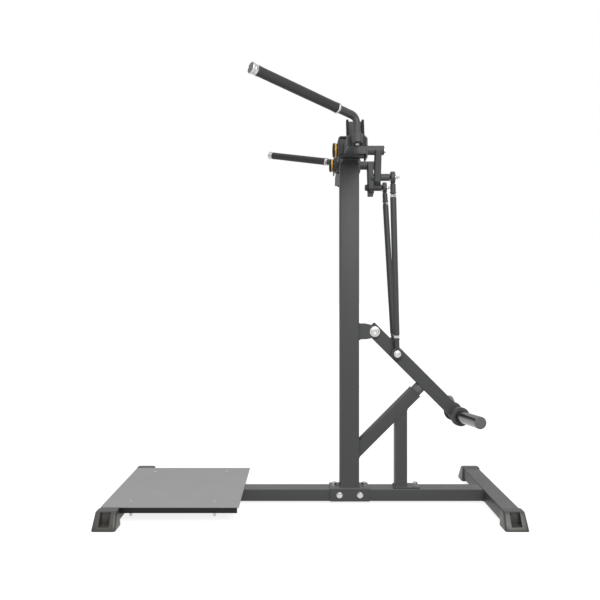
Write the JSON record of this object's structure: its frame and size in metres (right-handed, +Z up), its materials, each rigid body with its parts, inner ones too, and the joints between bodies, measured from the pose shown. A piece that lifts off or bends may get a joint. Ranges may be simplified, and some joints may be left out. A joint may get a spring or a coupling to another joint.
{
  "type": "standing chest fly machine",
  "caption": "Standing strength machine with a deck, a column, swinging arms with swivelling handles, push rods and a weight plate lever.",
  "frame": {"origin": "middle of the base on the floor, between the outer faces of the foot caps", "axes": "+X from the deck towards the weight lever, +Y towards the right of a user who looks along -X, +Z up"},
  "size_m": [1.6196, 1.3924, 1.6269],
  "materials": {
    "frame_paint": "satin powder coat",
    "deck_paint": "fine grained powder coat",
    "foot_plastic": "matt moulded",
    "black_plastic": "satin moulded",
    "ring_plastic": "glossy moulded",
    "bumper_rubber": "matt",
    "grip_rubber": "matt",
    "chrome": "polished",
    "zinc_steel": "zinc plated",
    "satin_steel": "satin",
    "bearing_metal": "oiled"
  },
  "bodies": {
    "frame": {"main_beam": "frame_paint", "front_cross_tube": "frame_paint", "rear_cross_tube": "frame_paint", "left_front_foot_cap": "foot_plastic", "right_front_foot_cap": "foot_plastic", "left_rear_foot_cap": "foot_plastic", "right_rear_foot_cap": "foot_plastic", "upright_column": "frame_paint", "upright_saddle": "frame_paint", "rear_post": "frame_paint", "brace": "frame_paint", "lever_bumper": "bumper_rubber", "deck_plate": "deck_paint", "left_pivot_housing": "frame_paint", "right_pivot_housing": "frame_paint", "left_front_bearing": "bearing_metal", "left_rear_bearing": "bearing_metal", "right_front_bearing": "bearing_metal", "right_rear_bearing": "bearing_metal", "lever_bracket": "frame_paint", "lever_pivot_pin": "zinc_steel"},
    "left_arm": {"left_pivot_shaft": "frame_paint", "left_shaft_cap": "black_plastic", "left_shaft_cap_ring": "ring_plastic", "left_arm_beam": "frame_paint", "left_crank_arm": "frame_paint", "left_crank_end_cap": "foot_plastic"},
    "right_arm": {"right_pivot_shaft": "frame_paint", "right_shaft_cap": "black_plastic", "right_shaft_cap_ring": "ring_plastic", "right_arm_beam": "frame_paint", "right_crank_arm": "frame_paint", "right_crank_end_cap": "foot_plastic"},
    "left_handle": {"left_handle_tube": "frame_paint", "left_swivel_bolt": "zinc_steel", "left_grip_sleeve": "grip_rubber", "left_grip_collar": "chrome", "left_grip_end_cap": "chrome"},
    "right_handle": {"right_handle_tube": "frame_paint", "right_swivel_bolt": "zinc_steel", "right_grip_sleeve": "grip_rubber", "right_grip_collar": "chrome", "right_grip_end_cap": "chrome"},
    "lever": {"lever_arm": "frame_paint", "lower_rod_bolt": "zinc_steel", "left_plate_horn": "satin_steel", "right_plate_horn": "satin_steel", "left_plate_stop": "frame_paint", "right_plate_stop": "frame_paint"},
    "left_rod_ball": {"left_lower_rod_ball": "zinc_steel"},
    "right_rod_ball": {"right_lower_rod_ball": "zinc_steel"},
    "left_rod": {"left_push_rod": "frame_paint", "left_upper_rod_end": "frame_paint", "left_lower_rod_end": "frame_paint", "left_upper_pivot_bolt": "zinc_steel"},
    "right_rod": {"right_push_rod": "frame_paint", "right_upper_rod_end": "frame_paint", "right_lower_rod_end": "frame_paint", "right_upper_pivot_bolt": "zinc_steel"}
  },
  "joints": [
    {"name": "left_arm_swing", "type": "hinge", "parent": "frame", "child": "left_arm", "pos_m": [0, -0.158, 1.454], "axis": [1, 0, 0], "range_deg": [0, 75]},
    {"name": "right_arm_swing", "type": "hinge", "parent": "frame", "child": "right_arm", "pos_m": [0, 0.158, 1.454], "axis": [-1, 0, 0], "range_deg": [0, 75.01]},
    {"name": "left_handle_swivel", "type": "hinge", "parent": "left_arm", "child": "left_handle", "pos_m": [0.166, -0.428, 1.516], "axis": [0, 0.342, 0.9397], "range_deg": [-45, 35]},
    {"name": "right_handle_swivel", "type": "hinge", "parent": "right_arm", "child": "right_handle", "pos_m": [0.166, 0.428, 1.516], "axis": [0, -0.342, 0.9397], "range_deg": [-35, 45]},
    {"name": "lever_swing", "type": "hinge", "parent": "frame", "child": "lever", "pos_m": [0.276, 0, 0.72], "axis": [0, -1, 0], "range_deg": [0, 48.38]},
    {"name": "left_ball_swing", "type": "hinge", "parent": "lever", "child": "left_rod_ball", "pos_m": [0.36792, -0.043, 0.62808], "axis": [0, 1, 0], "range_deg": [0, 45.42]},
    {"name": "right_ball_swing", "type": "hinge", "parent": "lever", "child": "right_rod_ball", "pos_m": [0.36792, 0.043, 0.62808], "axis": [0, 1, 0], "range_deg": [0, 45.42]},
    {"name": "left_rod_swing", "type": "hinge", "parent": "left_rod_ball", "child": "left_rod", "pos_m": [0.36792, -0.043, 0.62808], "axis": [-0.9991, 0, -0.0421], "range_deg": [0, 6.36]},
    {"name": "right_rod_swing", "type": "hinge", "parent": "right_rod_ball", "child": "right_rod", "pos_m": [0.36792, 0.043, 0.62808], "axis": [0.9991, 0, 0.0421], "range_deg": [0, 6.36]}
  ],
  "couplings": [
    {"joint": "right_arm_swing", "follows": "left_arm_swing", "ratio": 1},
    {"joint": "lever_swing", "follows": "left_arm_swing", "ratio": 0.64503},
    {"joint": "left_ball_swing", "follows": "left_arm_swing", "ratio": 0.60547},
    {"joint": "right_ball_swing", "follows": "left_arm_swing", "ratio": 0.60547},
    {"joint": "left_rod_swing", "follows": "left_arm_swing", "ratio": 0.084738},
    {"joint": "right_rod_swing", "follows": "left_arm_swing", "ratio": 0.084738}
  ]
}
